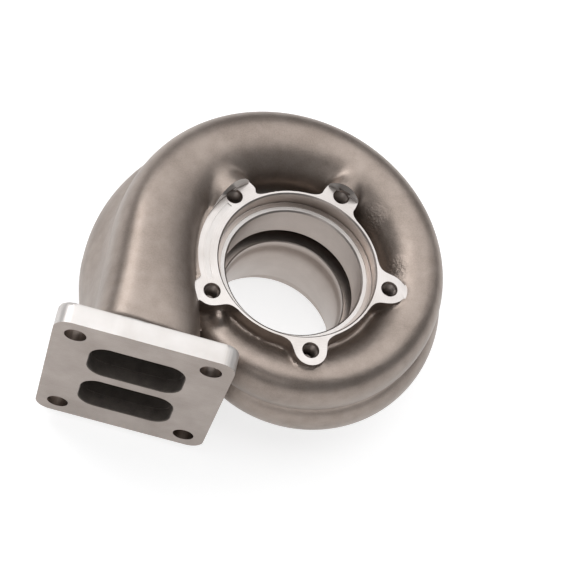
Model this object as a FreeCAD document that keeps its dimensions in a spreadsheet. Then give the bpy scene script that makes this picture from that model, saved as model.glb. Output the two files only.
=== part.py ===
import FreeCAD, Part
import Sketcher
import math
import os

# Twin-scroll turbine housing of a turbocharger, one iron casting with machined faces.
# Frame: the origin is on the shaft axis at the outlet face, +Z runs up the shaft axis to the
# bearing housing, and the inlet flange faces -Y. Lengths are millimetres, angles degrees.
# The scroll winds clockwise seen from +Z. Its wind angle starts at the mouth on the -X side.

NODE = "turbine_housing"

# Sizes of the machined faces and of the casting, each with what it measures
SIZES = [
    ("face_height", 138.0, "bearing housing face above the outlet face"),
    ("ring_radius", 67.0, "outside of the bearing housing ring"),
    ("pilot_radius", 64.3, "pilot bore that centres the bearing housing"),
    ("pilot_depth", 14.0, "depth of the pilot bore"),
    ("backplate_radius", 55.85, "bore behind the turbine wheel"),
    ("nozzle_depth", 45.4, "bearing housing face down to the nozzle"),
    ("nozzle_width", 10.7, "axial width of the nozzle slot"),
    ("nozzle_radius", 64.0, "where the two scrolls join ahead of the wheel"),
    ("shroud_radius", 51.0, "wheel shroud at its lip"),
    ("throat_radius", 49.7, "wheel shroud at its throat"),
    ("throat_height", 27.0, "throat above the outlet face"),
    ("outlet_radius", 56.0, "gas outlet bore at its face"),
    ("outlet_flange_radius", 66.0, "clamp flange round the outlet"),
    ("outlet_flange_lip", 4.5, "straight rim of the clamp flange"),
    ("outlet_neck_radius", 61.0, "outlet neck behind the clamp flange"),
    ("outlet_neck_height", 12.0, "where the clamp flange's taper meets the neck"),
    ("collar_radius", 74.5, "cast collar under the ring"),
    ("collar_depth", 15.5, "ring face down to the collar"),
    ("hub_radius", 80.0, "widest part of the hub, inside the scrolls"),
    ("bolt_circle_radius", 76.2, "circle of the bearing housing bolts"),
    ("bolt_count", 5, "number of bearing housing bolts"),
    ("ear_radius", 12.8, "round end of each bolt ear"),
    ("ear_blend", 9.0, "hollow blend between ear and ring"),
    ("ear_depth", 26.0, "ring face down to where the ears end in the casting"),
    ("tap_radius", 5.1, "tapped hole at its thread crests"),
    ("tap_depth", 15.0, "depth of the tapped holes"),
    ("recess_radius", 81.0, "machined recess round the bearing housing"),
    ("floor_reach", 84.0, "cast floor of the recess beside the inlet"),
    ("floor_depth", 38.0, "thickness of that floor"),
    ("floor_start", 140.0, "angle where that floor starts"),
    ("floor_sweep", 72.0, "angle that the floor covers"),
    ("allowance", 1.5, "cast metal that is machined off the ring's face"),
    ("recess_clearance", 40.0, "height that the recess tool clears above the face"),
    ("lug_reach", 26.0, "length of a lug outwards from the bolt circle"),
    ("large_lug_radius", 19.5, "round top of the lug at the first ear"),
    ("large_lug_rise", 14.5, "top of that lug above the face"),
    ("small_lug_radius", 13.5, "round top of the lug at the second ear"),
    ("small_lug_rise", 10.5, "top of that lug above the face"),
    ("divider_height", 88.4, "middle of the wall between the scrolls"),
    ("divider_wall", 6.0, "thickness of that wall"),
    ("divider_tip", 2.0, "thickness of that wall at the nozzle"),
    ("scroll_wall", 7.0, "wall of the scrolls"),
    ("overlap", 0.74, "scroll centre above the divider, in half heights"),
    ("near_width_mouth", 35.2, "half width of the near scroll at its mouth"),
    ("far_width_mouth", 37.0, "half width of the far scroll at its mouth"),
    ("tail_width", 17.0, "half width of both scrolls at the tail"),
    ("tail_angle", 350.0, "wind angle of the tail"),
    ("tail_stagger", 2.0, "how much further the near tail winds, and the far one less"),
    ("passage_tail_angle", 334.0, "wind angle where the passages end"),
    ("throat_step_down", 0.4, "how far the throat meets the nozzle inside its walls"),
    ("throat_slope", 0.25, "slope of the throat's outer wall towards the passage"),
    ("divider_slope", 0.06, "slope of the divider wall's faces towards its tip"),
    ("skin_power", 2.5, "shape of a skin section, 2 is an ellipse, more is squarer"),
    ("passage_power", 2.8, "shape of a passage section"),
    ("skin_sides", 24, "flat sides of a skin section"),
    ("passage_sides", 16, "flat sides of a passage section"),
    ("skin_step", 14.0, "wind angle between two sections of the skin"),
    ("passage_step", 26.0, "wind angle between two sections of a passage"),
    ("throat_step", 24.0, "wind angle between two sections of the way in to the nozzle"),
    ("inlet_centre_x", -101.6, "middle of the inlet flange along X"),
    ("inlet_face_y", -119.1, "machined face of the inlet flange along Y"),
    ("inlet_thickness", 17.5, "thickness of the inlet flange"),
    ("inlet_width", 140.0, "inlet flange along X"),
    ("inlet_height", 156.5, "inlet flange along Z"),
    ("inlet_corner", 13.0, "corner radius of the inlet flange"),
    ("stud_pitch_x", 104.8, "spacing of the inlet studs along X"),
    ("stud_pitch_z", 120.8, "spacing of the inlet studs along Z"),
    ("stud_radius", 8.6, "stud holes of the inlet flange"),
    ("port_width", 74.6, "width of each inlet port"),
    ("port_height", 44.4, "height of each inlet port"),
    ("port_shift_x", -0.8, "ports beside the middle of the flange"),
    ("port_bridge", 12.0, "land between the two ports"),
    ("port_depth", 12.0, "depth of the ports before the passages narrow"),
    ("port_corner", 15.0, "corner radius of the ports"),
    ("duct_half_width", 44.2, "half width of the duct skin at the flange"),
    ("duct_height", 78.0, "duct skin at the flange above the divider"),
    ("duct_half_height", 52.6, "half height of each duct skin at the flange"),
    ("duct_spans", 2, "number of duct spans between flange and mouth"),
    ("tool_margin", 2.0, "how far a cutting tool runs past a face"),
]

# Outer radius of each scroll and its height from the divider, at each quarter turn and the tail
QUARTERS = [0.0, 90.0, 180.0, 270.0, 350.0]
SCROLL_TABLES = {
    "near_radius": [149.5, 141.0, 124.5, 106.5, 87.5],
    "far_radius": [166.5, 161.0, 135.0, 105.0, 83.0],
    "scroll_height": [77.3, 68.0, 54.0, 42.5, 29.0],
}

doc = FreeCAD.newDocument("TurbineHousing")
Vector = FreeCAD.Vector
UP = Vector(0, 0, 1)


class Size:
    """A number of the sheet, or one worked out from them, with the expression that gives it."""

    def __init__(self, value, text):
        self.value = value
        self.text = text

    def join(self, sign, other, value):
        text = other.text if isinstance(other, Size) else str(other)
        return Size(value, "(%s %s %s)" % (self.text, sign, text))

    def __add__(self, other):
        return self.join("+", other, self.value + plain(other))

    def __sub__(self, other):
        return self.join("-", other, self.value - plain(other))

    def __mul__(self, other):
        return self.join("*", other, self.value * plain(other))

    def __truediv__(self, other):
        return self.join("/", other, self.value / plain(other))

    def __neg__(self):
        return self * -1


def plain(number):
    """The plain number of a size or a number."""
    return number.value if isinstance(number, Size) else number


def fill_sheet():
    """Put every driving size in the sheet and give each back by its name."""
    sheet = doc.addObject("Spreadsheet::Sheet", "Sizes")
    rows = list(SIZES)
    for name, values in SCROLL_TABLES.items():
        for quarter, value in enumerate(values):
            rows.append(("%s_quarter_%s" % (name, "abcde"[quarter]), value, "scroll station"))
    sizes = {}
    for row, (name, value, meaning) in enumerate(rows, start=1):
        sheet.set("A%d" % row, name)
        sheet.set("B%d" % row, str(value))
        sheet.set("C%d" % row, meaning)
        sheet.setAlias("B%d" % row, name)
    doc.recompute()
    for name, value, meaning in rows:
        sizes[name] = Size(float(sheet.get(name)), "Sizes." + name)
    return sizes


class Sizes:
    """The driving sizes as named values."""


S = Sizes()
for alias, size in fill_sheet().items():
    setattr(S, alias, size)


def bind(thing, **values):
    """Set properties of an object, each bound to the sheet."""
    for name, size in values.items():
        thing.setExpression(name, size.text)
    return thing


def place(thing, x=0.0, y=0.0, z=0.0, rotation=FreeCAD.Rotation()):
    """Place an object at a point, with each coordinate that is a size bound to the sheet."""
    thing.Placement = FreeCAD.Placement(Vector(plain(x), plain(y), plain(z)), rotation)
    for name, size in (("x", x), ("y", y), ("z", z)):
        if isinstance(size, Size):
            thing.setExpression("Placement.Base." + name, size.text)
    return thing


def cylinder(name, radius, height, x=0.0, y=0.0, z=0.0, rotation=FreeCAD.Rotation()):
    """A cylinder standing on a point, or turned about it."""
    thing = doc.addObject("Part::Cylinder", name)
    bind(thing, Radius=radius, Height=height)
    return place(thing, x, y, z, rotation)


def turned_profile(name, corners):
    """A solid turned about Z from a closed outline of (radius, height) corners."""
    sketch = doc.addObject("Sketcher::SketchObject", name + "_outline")
    sketch.Placement = FreeCAD.Placement(Vector(), FreeCAD.Rotation(Vector(1, 0, 0), 90))
    points = [Vector(plain(radius), plain(height), 0) for radius, height in corners]
    count = len(points)
    lines = [Part.LineSegment(points[i], points[(i + 1) % count]) for i in range(count)]
    sketch.addGeometry(lines, False)
    for i, (radius, height) in enumerate(corners):
        sketch.addConstraint(Sketcher.Constraint("Coincident", i, 2, (i + 1) % count, 1))
        for kind, size in (("DistanceX", radius), ("DistanceY", height)):
            spot = sketch.addConstraint(Sketcher.Constraint(kind, -1, 1, i, 1, plain(size)))
            if isinstance(size, Size):
                sketch.setExpression("Constraints[%d]" % spot, size.text)
    solid = doc.addObject("Part::Revolution", name)
    solid.Source = sketch
    solid.Axis = UP
    solid.Base = Vector()
    solid.Angle = 360
    solid.Solid = True
    return solid


def fuse(name, parts):
    thing = doc.addObject("Part::MultiFuse", name)
    thing.Shapes = parts
    return thing


def cut_away(name, base, tool):
    thing = doc.addObject("Part::Cut", name)
    thing.Base = base
    thing.Tool = tool
    return thing


def station(table, wind):
    """A scroll size at a wind angle, on the smooth curve through its five stations."""
    total = 0.0
    for i, own in enumerate(QUARTERS):
        weight = 1.0
        for j, other in enumerate(QUARTERS):
            if j != i:
                weight *= (wind - other) / (own - other)
        total += weight * getattr(S, "%s_quarter_%s" % (table, "abcde"[i])).value
    return total


def between(first, last, share):
    return plain(first) + (plain(last) - plain(first)) * share


def outline(centre, across, half_width, half_height, power, sides):
    """A closed section of flat sides on a rounded form: power 2 is an ellipse, more is squarer."""
    corners = []
    for number in range(int(sides.value)):
        turn = 2 * math.pi * number / int(sides.value)
        u, v = math.cos(turn), math.sin(turn)
        reach = (abs(u) ** power.value + abs(v) ** power.value) ** (-1.0 / power.value)
        corners.append(centre + across * (half_width * reach * u) + UP * (half_height * reach * v))
    return Part.makePolygon(corners + corners[:1])


def loft(name, wires):
    """A solid through sections, straight from each to the next."""
    sections = []
    for number, wire in enumerate(wires):
        section = doc.addObject("Part::Feature", "%s_section_%02d" % (name, number))
        section.Shape = wire
        sections.append(section)
    solid = doc.addObject("Part::Loft", name)
    solid.Sections = sections
    solid.Solid = True
    solid.Ruled = True
    return solid


class Scroll:
    """One of the two scrolls: near is on the bearing housing side (side 1), far is side -1."""

    def __init__(self, name, side, radius_table, mouth_width):
        self.name = name
        self.side = side
        self.radius_table = radius_table
        self.mouth_width = mouth_width

    def skin(self, wind):
        """Centre radius, centre height, half width and half height of the skin's section."""
        half_width = between(self.mouth_width, S.tail_width, wind / S.tail_angle.value)
        half_height = station("scroll_height", wind) / (1.0 + S.overlap.value)
        radius = station(self.radius_table, wind) - half_width
        height = S.divider_height.value + self.side * S.overlap.value * half_height
        return radius, height, half_width, half_height

    def passage(self, wind):
        """The same four sizes of the gas passage, which stops at the divider wall."""
        radius, height, half_width, half_height = self.skin(wind)
        wall = S.scroll_wall.value
        low = S.divider_wall.value / 2
        high = station("scroll_height", wind) - wall
        middle = S.divider_height.value + self.side * (low + high) / 2
        return radius, middle, half_width - wall, (high - low) / 2

    def section(self, wind, sizes, power, sides):
        """The closed section at a wind angle, in the half plane through the shaft axis."""
        radius, height, half_width, half_height = sizes
        angle = math.radians(180.0 - wind)
        across = Vector(math.cos(angle), math.sin(angle), 0)
        centre = across * radius + UP * height
        return outline(centre, across, half_width, half_height, power, sides)

    def winds(self, last, step):
        spans = max(2, round(plain(last) / plain(step)))
        return [plain(last) * i / spans for i in range(spans + 1)]

    def duct(self, mouth, flange, flange_y, power, sides):
        """Sections of the straight duct from the flange to the mouth."""
        wires = []
        spans = int(S.duct_spans.value)
        for number in range(spans, -1, -1):
            share = number / spans
            ease = share * share * (3 - 2 * share)
            radius, height, half_width, half_height = [
                between(a, b, ease) for a, b in zip(mouth, flange)
            ]
            centre = Vector(-radius, flange_y * share, height)
            across = Vector(-1, 0, 0)
            wires.append(outline(centre, across, half_width, half_height, power, sides))
        return wires

    def build_duct(self):
        """The duct of the raw casting, from inside the flange to the mouth."""
        middle = S.duct_height.value - S.duct_half_height.value
        flange = (
            -(S.inlet_centre_x.value + S.port_shift_x.value),
            S.divider_height.value + self.side * middle,
            S.duct_half_width.value,
            S.duct_half_height.value,
        )
        back = S.inlet_face_y.value + S.inlet_thickness.value * (0.5 + 0.1 * self.side)
        wires = self.duct(self.skin(0.0), flange, back, S.skin_power, S.skin_sides)
        return loft(self.name + "_duct", wires)

    def build_skin(self):
        """The scroll of the raw casting, from the mouth round to the tail."""
        wires = []
        tail = S.tail_angle + S.tail_stagger * self.side
        for wind in self.winds(tail, S.skin_step):
            wires.append(self.section(wind, self.skin(wind), S.skin_power, S.skin_sides))
        return loft(self.name + "_skin", wires)

    def build_passage(self):
        """The gas passage, from the back of the port round to where it ends."""
        flange = (
            -(S.inlet_centre_x.value + S.port_shift_x.value),
            self.port_middle().value,
            S.port_width.value / 2,
            S.port_height.value / 2,
        )
        back = S.inlet_face_y.value + S.port_depth.value
        power, sides = S.passage_power, S.passage_sides
        wires = self.duct(self.passage(0.0), flange, back, power, sides)
        for wind in self.winds(S.passage_tail_angle, S.passage_step)[1:]:
            wires.append(self.section(wind, self.passage(wind), power, sides))
        return loft(self.name + "_passage", wires)

    def port_middle(self):
        """The middle of this scroll's port above the outlet face."""
        middle = (S.port_bridge + S.port_height) / 2
        return S.divider_height + middle * self.side

    def build_port(self):
        """The straight port with round corners at the flange's face."""
        block = doc.addObject("Part::Box", self.name + "_port_block")
        bind(
            block,
            Length=S.port_width,
            Width=S.port_depth + S.tool_margin * 2,
            Height=S.port_height,
        )
        place(
            block,
            S.inlet_centre_x + S.port_shift_x - S.port_width / 2,
            S.inlet_face_y - S.tool_margin,
            self.port_middle() - S.port_height / 2,
        )
        return round_corners(self.name + "_port", block, S.port_corner)

    def throat_reach(self, wind):
        """How far out the throat runs at a wind angle, to end inside the passage."""
        radius, height, half_width, half_height = self.passage(wind)
        return radius - half_width / 2


def build_throat(scroll):
    """The narrowing way in to the nozzle, turned and then limited to the scroll's spiral."""
    side = scroll.side
    winds = scroll.winds(S.passage_tail_angle, S.throat_step)
    reach = max(scroll.throat_reach(wind) for wind in winds) + S.tool_margin.value
    inner = S.nozzle_radius - S.tool_margin / 2
    run = (inner * -1 + reach) * side
    slot = S.nozzle_width / 2
    face = S.face_height - S.nozzle_depth - slot + (slot - S.throat_step_down) * side
    tip = S.divider_height + S.divider_tip / 2 * side
    top = face + run * S.throat_slope
    root = tip + run * S.divider_slope
    corners = [(inner, face), (reach, top), (reach, root), (inner, tip)]
    wedge = turned_profile(scroll.name + "_throat_wedge", corners)
    outer = [(wind, scroll.throat_reach(wind)) for wind in winds]
    tongue = [(wind, inner.value) for wind in (winds[-1], (winds[-1] + 360) / 2, 360)]
    points = [Vector(*at_angle(radius, 180 - wind), 0) for wind, radius in outer + tongue]
    spiral = doc.addObject("Part::Feature", scroll.name + "_throat_spiral")
    spiral.Shape = Part.makePolygon(points + points[:1])
    prism = doc.addObject("Part::Extrusion", scroll.name + "_throat_prism")
    prism.Base = spiral
    prism.Dir = UP
    prism.Solid = True
    bind(prism, LengthFwd=S.face_height)
    throat = doc.addObject("Part::Common", scroll.name + "_throat")
    throat.Base = wedge
    throat.Tool = prism
    return throat


def ear_angles():
    """Angles of the bolt ears from +X, the first beside the inlet."""
    count = int(S.bolt_count.value)
    return [144.0 - 360.0 / count * i for i in range(count)]


def at_angle(radius, angle):
    turn = math.radians(angle)
    return radius * math.cos(turn), radius * math.sin(turn)


def build_hub():
    """The round body of the casting, solid: the bore is cut from it later."""
    face = S.face_height
    collar = face - S.collar_depth
    corners = [
        (0, 0),
        (S.outlet_flange_radius, 0),
        (S.outlet_flange_radius, S.outlet_flange_lip),
        (S.outlet_neck_radius, S.outlet_neck_height),
        (S.outlet_neck_radius, S.divider_height - 50),
        (S.hub_radius, S.divider_height - 10),
        (S.hub_radius, S.divider_height + 10),
        (S.collar_radius + 1, collar - 9),
        (S.collar_radius, collar - 2),
        (S.collar_radius - 2.5, collar),
        (0, collar),
    ]
    return turned_profile("hub", corners)


def crown_outline():
    """The ring with its ears seen from above, each ear blended in by two hollow arcs."""
    ring, ear, blend = S.ring_radius.value, S.ear_radius.value, S.ear_blend.value
    circle = S.bolt_circle_radius.value
    to_blend = ring + blend
    cosine = (to_blend**2 + circle**2 - (ear + blend) ** 2) / (2 * to_blend * circle)
    swing = math.degrees(math.acos(cosine))
    angles = sorted(ear_angles())
    edges = []
    for angle, after in zip(angles, angles[1:] + [angles[0] + 360]):
        middle = Vector(*at_angle(circle, angle), 0)
        hollows = [Vector(*at_angle(to_blend, angle + turn), 0) for turn in (-swing, swing)]
        starts = [Vector(*at_angle(ring, angle + turn), 0) for turn in (-swing, swing)]
        joins = [middle + (hollow - middle) * (ear / (ear + blend)) for hollow in hollows]
        deep = []
        for hollow, start, join in zip(hollows, starts, joins):
            inward = (start + join) / 2 - hollow
            deep.append(hollow + inward * (blend / inward.Length))
        edges.append(Part.Arc(starts[0], deep[0], joins[0]).toShape())
        edges.append(Part.Arc(joins[0], middle * (1 + ear / circle), joins[1]).toShape())
        edges.append(Part.Arc(joins[1], deep[1], starts[1]).toShape())
        halfway = Vector(*at_angle(ring, (angle + after) / 2), 0)
        end = Vector(*at_angle(ring, after - swing), 0)
        edges.append(Part.Arc(starts[1], halfway, end).toShape())
    return Part.Wire(edges)


def build_crown():
    """The ring with its bolt ears, and the cast metal that is machined off its face."""
    outline = doc.addObject("Part::Feature", "crown_outline")
    outline.Shape = crown_outline()
    crown = doc.addObject("Part::Extrusion", "crown")
    crown.Base = outline
    crown.Dir = UP
    crown.Solid = True
    bind(crown, LengthFwd=S.ear_depth + S.allowance)
    return place(crown, z=S.face_height - S.ear_depth)


def build_recess_floor():
    """The cast floor that fills the corner between ring and inlet duct."""
    floor = cylinder(
        "recess_floor",
        S.floor_reach,
        S.floor_depth + S.allowance / 2,
        z=S.face_height - S.floor_depth,
        rotation=FreeCAD.Rotation(UP, S.floor_start.value),
    )
    return bind(floor, Angle=S.floor_sweep)


def build_lug(name, angle, radius, rise):
    """A round-topped lug that runs outwards from an ear into the scroll's flank."""
    x, y = at_angle(S.bolt_circle_radius, angle)
    outwards = FreeCAD.Rotation(UP, angle) * FreeCAD.Rotation(Vector(0, 1, 0), 90)
    height = S.face_height + rise - radius
    return cylinder(name, radius, S.lug_reach, x, y, height, outwards)


def round_corners(name, block, radius):
    """A box with its four edges along Y rounded."""
    doc.recompute()
    corners = []
    for number, edge in enumerate(block.Shape.Edges, start=1):
        first, last = [vertex.Point for vertex in edge.Vertexes]
        if (first - last).cross(Vector(0, 1, 0)).Length < 1e-6:
            corners.append((number, radius.value, radius.value))
    rounded = doc.addObject("Part::Fillet", name)
    rounded.Base = block
    rounded.Edges = corners
    return rounded


def build_inlet_flange():
    """The rectangular inlet flange with its round corners."""
    plate = doc.addObject("Part::Box", "inlet_plate")
    bind(plate, Length=S.inlet_width, Width=S.inlet_thickness, Height=S.inlet_height)
    place(
        plate,
        S.inlet_centre_x - S.inlet_width / 2,
        S.inlet_face_y,
        S.divider_height - S.inlet_height / 2,
    )
    return round_corners("inlet_flange", plate, S.inlet_corner)


def build_bore():
    """What is turned out along the shaft axis, from the outlet to the pilot bore."""
    face = S.face_height
    nozzle_top = face - S.nozzle_depth
    nozzle_bottom = nozzle_top - S.nozzle_width
    corners = [
        (0, -S.tool_margin),
        (S.outlet_radius, -S.tool_margin),
        (S.outlet_radius, 0),
        (S.throat_radius, S.throat_height),
        (S.throat_radius, nozzle_bottom - 4),
        (S.shroud_radius, nozzle_bottom),
        (S.nozzle_radius, nozzle_bottom),
        (S.nozzle_radius, nozzle_top),
        (S.backplate_radius, nozzle_top),
        (S.backplate_radius, face - S.pilot_depth),
        (S.pilot_radius, face - S.pilot_depth),
        (S.pilot_radius, face - 0.8),
        (S.pilot_radius + 0.8, face),
        (S.pilot_radius + 0.8, face + S.tool_margin),
        (0, face + S.tool_margin),
    ]
    return turned_profile("bore", corners)


def build_recess():
    """What is turned away above the ring's face, and faced off round three of the ears."""
    tools = [cylinder("recess", S.recess_radius, S.recess_clearance, z=S.face_height)]
    for number, angle in enumerate(ear_angles()[2:], start=1):
        x, y = at_angle(S.bolt_circle_radius, angle)
        name = "ear_facing_%d" % number
        radius = S.ear_radius + S.allowance
        tools.append(cylinder(name, radius, S.recess_clearance, x, y, S.face_height))
    return tools


def build_tapped_holes():
    """The blind bolt holes of the ears."""
    tools = []
    for number, angle in enumerate(ear_angles(), start=1):
        x, y = at_angle(S.bolt_circle_radius, angle)
        length = S.tap_depth + S.tool_margin
        foot = S.face_height - S.tap_depth
        tools.append(cylinder("tapped_hole_%d" % number, S.tap_radius, length, x, y, foot))
    return tools


def build_stud_holes():
    """The four through holes of the inlet flange."""
    tools = []
    length = S.inlet_thickness + S.tool_margin * 2
    for column in (-1, 1):
        for row in (-1, 1):
            name = "stud_hole_%s_%s" % ("left" if column < 0 else "right", "low" if row < 0 else "high")
            tools.append(
                cylinder(
                    name,
                    S.stud_radius,
                    length,
                    S.inlet_centre_x + S.stud_pitch_x * (column / 2),
                    S.inlet_face_y + S.inlet_thickness + S.tool_margin,
                    S.divider_height + S.stud_pitch_z * (row / 2),
                    rotation=FreeCAD.Rotation(Vector(1, 0, 0), 90),
                )
            )
    return tools


def build_housing():
    """The raw casting, less everything that is cored or machined out of it."""
    near = Scroll("near", 1, "near_radius", S.near_width_mouth)
    far = Scroll("far", -1, "far_radius", S.far_width_mouth)
    first_ear, second_ear = ear_angles()[:2]
    casting = fuse(
        "casting",
        [
            near.build_skin(),
            near.build_duct(),
            far.build_skin(),
            far.build_duct(),
            build_hub(),
            build_crown(),
            build_recess_floor(),
            build_lug("large_lug", first_ear, S.large_lug_radius, S.large_lug_rise),
            build_lug("small_lug", second_ear, S.small_lug_radius, S.small_lug_rise),
            build_inlet_flange(),
        ],
    )
    machining = [build_bore(), near.build_port(), far.build_port()]
    machining += build_recess() + build_tapped_holes() + build_stud_holes()
    tools = [near.build_passage(), far.build_passage(), build_throat(near), build_throat(far)]
    tools.append(fuse("machining", machining))
    housing = casting
    for number, tool in enumerate(tools, start=1):
        last = number == len(tools)
        housing = cut_away(NODE if last else "cut_%d" % number, housing, tool)
    housing.Label = NODE
    doc.recompute()
    return housing


def check_and_write(parts):
    """Stop on any failed object or bad solid, then write each part's file."""
    for thing in doc.Objects:
        if "Invalid" in thing.State or "Error" in thing.State:
            raise RuntimeError("%s failed: %s" % (thing.Name, thing.State))
    for part in parts:
        shape = part.Shape
        if shape.isNull() or not shape.isValid() or len(shape.Solids) != 1:
            raise RuntimeError("%s isn't one valid solid" % part.Label)
    os.makedirs("parts", exist_ok=True)
    for part in parts:
        part.Shape.exportStep("parts/%s.step" % part.Label)
        print("%s: %.0f cubic millimetres" % (part.Label, part.Shape.Volume))


check_and_write([build_housing()])
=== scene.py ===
import math

import bmesh
import bpy
import numpy as np
from mathutils import Matrix, Vector


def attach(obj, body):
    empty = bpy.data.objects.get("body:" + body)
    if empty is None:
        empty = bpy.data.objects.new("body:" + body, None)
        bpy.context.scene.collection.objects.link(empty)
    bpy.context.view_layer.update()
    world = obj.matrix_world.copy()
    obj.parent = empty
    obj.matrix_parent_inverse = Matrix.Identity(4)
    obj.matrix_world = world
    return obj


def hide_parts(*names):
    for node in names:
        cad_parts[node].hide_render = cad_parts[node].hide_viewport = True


# Looks of a twin-scroll turbine housing: one rough iron casting with bright machined faces.
# Sizes are millimetres in the frame of the CAD part, and meshes are scaled to metres.
# The near scroll and port lie next to the bearing housing, the far ones next to the outlet.

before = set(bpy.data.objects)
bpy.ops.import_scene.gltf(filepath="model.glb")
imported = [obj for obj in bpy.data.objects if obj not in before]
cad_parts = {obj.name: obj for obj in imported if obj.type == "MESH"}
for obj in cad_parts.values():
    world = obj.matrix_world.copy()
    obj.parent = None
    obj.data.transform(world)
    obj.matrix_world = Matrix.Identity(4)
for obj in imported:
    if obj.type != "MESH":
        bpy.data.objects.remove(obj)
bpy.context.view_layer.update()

MM = 0.001
NEAR, FAR = 1, -1

# Ring, ears and bore
FACE = 138.0
DIVIDER = 88.4
PILOT_R, PILOT_RIM, LEDGE = 64.3, 1.1, 124.0
BACKPLATE_R = 55.85
NOZZLE_TOP, NOZZLE_BOTTOM, NOZZLE_R = 92.6, 81.9, 64.0
RING_R, EAR_R, EAR_BLEND = 67.0, 12.8, 15.0
BOLT_R = 76.2
EARS = [144.0, 72.0, 0.0, -72.0, -144.0]
LUG_EARS = EARS[:2]
FACING_WIDER = 2.0
RECESS_R = 81.0
STEP_DEPTH, STEP_IN, STEP_OUT, STEP_START, STEP_STOP = 0.7, 71.2, 75.6, 150.5, 208.0
RELIEF_DEPTH, RELIEF_IN, RELIEF_OUT, RELIEF_BEFORE, RELIEF_AFTER = 0.8, 1.2, 0.4, 24, 22
BORE_SIDES, EAR_SIDES, HOLE_SIDES = 144, 48, 40
SHARP_ANGLE = 38.0
BORE = [
    (0, -5), (60.5, -5), (60.5, 15), (54, 17), (49.7, 42), (49.7, 71), (51.2, 73.5), (51.2, 81.1),
    (52, NOZZLE_BOTTOM), (NOZZLE_R, NOZZLE_BOTTOM), (NOZZLE_R, NOZZLE_TOP), (56.3, NOZZLE_TOP),
    (BACKPLATE_R, 93.1), (BACKPLATE_R, 122.8), (57.1, LEDGE), (60.2, LEDGE), (60.4, 124.6),
    (63.6, 124.6), (63.8, 123.6), (PILOT_R, 123.6), (PILOT_R, 136.9), (PILOT_R + PILOT_RIM, FACE),
    (PILOT_R + PILOT_RIM, FACE + 7), (0, FACE + 7),
]

# Inlet flange, its ports and studs
INLET_X, INLET_Y, INLET_T = -101.6, -119.1, 17.5
INLET_W, INLET_H, INLET_CORNER = 140.0, 156.5, 13.0
PORT_X, PORT_W, PORT_H, PORT_BRIDGE, PORT_CORNER = -102.4, 74.6, 44.4, 12.0, 15.0
STUD_ACROSS, STUD_UP, STUD_R = 52.4, 60.4, 8.6

# Scroll stations: wind angle, outer radius of each scroll, height from the divider
WIND = np.array([0.0, 90.0, 180.0, 270.0, 350.0])
OUTER_R = {
    NEAR: np.polyfit(WIND, [149.5, 141.0, 124.5, 106.5, 87.5], 4),
    FAR: np.polyfit(WIND, [166.5, 161.0, 135.0, 105.0, 83.0], 4),
}
HEIGHT = np.polyfit(WIND, [77.3, 68.0, 54.0, 42.5, 29.0], 4)
NEAR_LOWER = 0.9
MOUTH_WIDTH = {NEAR: 35.2, FAR: 37.0}
TAIL, TAIL_WIDTH = 350.0, 17.0
OVERLAP = 0.74
SKIN_TRIM, TAIL_TRIM = 0.8, 0.3
ROUND_POWER, MOUTH_SQUARER, MOUTH_FADES = 2.15, 0.2, 120.0
LEAN, LEAN_FADES = 0.22, 0.0003

# Ducts from the scrolls' mouths to the flange
DUCT_FROM_DIVIDER, DUCT_HALF_W, DUCT_HALF_H = 25.4, 43.4, 50.6
DUCT_SOONER, DUCT_POWER, DUCT_LEAN_LOSS = 1.12, 2.35, 0.6
DUCT_EDGE, DUCT_EDGE_FADES, MOUTH_HOLLOW_FADES = -50.0, 30.0, 85.0

# Gas passages and throats
WALL, HALF_DIVIDER = 7.0, 3.0
PASSAGE_END, PASSAGE_POWER, PORT_SQUARER = 335.0, 2.8, 1.6
PORT_CLEAR, PORT_DEPTH = 0.6, 7.0
THROAT_R, THROAT_LIP, THROAT_FLARE, THROAT_FALL = 63.0, 0.3, 0.25, 0.06

# Cast stock in front of the inlet face, before it is milled
DUCT_STOCK, FLANGE_STOCK = 1.0, 3.0

# Hub under the ring: corners of its section, shrunk by its corner radius
HUB = [
    (0.0, -4.0), (62.0, -4.0), (62.0, 1.0), (57.0, 10.5), (57.0, 38.0), (74.0, 74.0),
    (75.5, 98.0), (70.0, 110.5), (68.5, 115.0), (66.5, 117.0), (0.0, 117.0),
]
HUB_ROUND = 4.0

# Lugs behind two ears: direction, radius, rise above the face, start from the axis, length
LUGS = [(145.0, 21.5, 15.0, 70.0, 34.0), (72.0, 13.5, 10.5, 72.0, 30.0)]

# Cast floor beside the inlet duct: radius, middle and half width of its sector in degrees
FLOOR_R, FLOOR_MIDDLE, FLOOR_HALF = 83.5, 176.0, 34.0

# Web under the ear beside the duct
WEB_X, WEB_Y, WEB_Z, WEB_R, WEB_STRETCH = -50.5, -60.5, 122, 5.5, 1.6

# Widths of the hollows where the forms of the casting meet
SCROLL_HOLLOW, MOUTH_HOLLOW = 5.0, 19.0
HUB_HOLLOW, FLOOR_HOLLOW, CROWN_HOLLOW = 7.0, 3.0, 3.0
LUG_HOLLOW, WEB_HOLLOW, FLANGE_HOLLOW = 5.0, 6.0, 4.0

# Grid on which the casting's skin is found
PITCH = 2.15
GRID_LOW, GRID_HIGH = (-174.0, -126.0, -10.0), (140.0, 166.0, 172.0)
BARELY_INSIDE = -0.02
SOLVER = "MANIFOLD"


# The raw casting as a field: negative in the metal, zero on its skin


def wind_at(x, y):
    """How far round the scrolls a place lies, in degrees from the mouth."""
    return np.mod(180.0 - np.degrees(np.arctan2(y, x)), 360.0)


def eased(share):
    """A share that starts and ends level: three squares less two cubes."""
    return share * share * (3 - 2 * share)


def between(start, goal, share):
    """Sizes a share of the way from the first set to the second."""
    return [s + (g - s) * share for s, g in zip(start, goal)]


def on_circle(radius, angle):
    """The place at a radius and an angle in degrees."""
    return radius * math.cos(math.radians(angle)), radius * math.sin(math.radians(angle))


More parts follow.
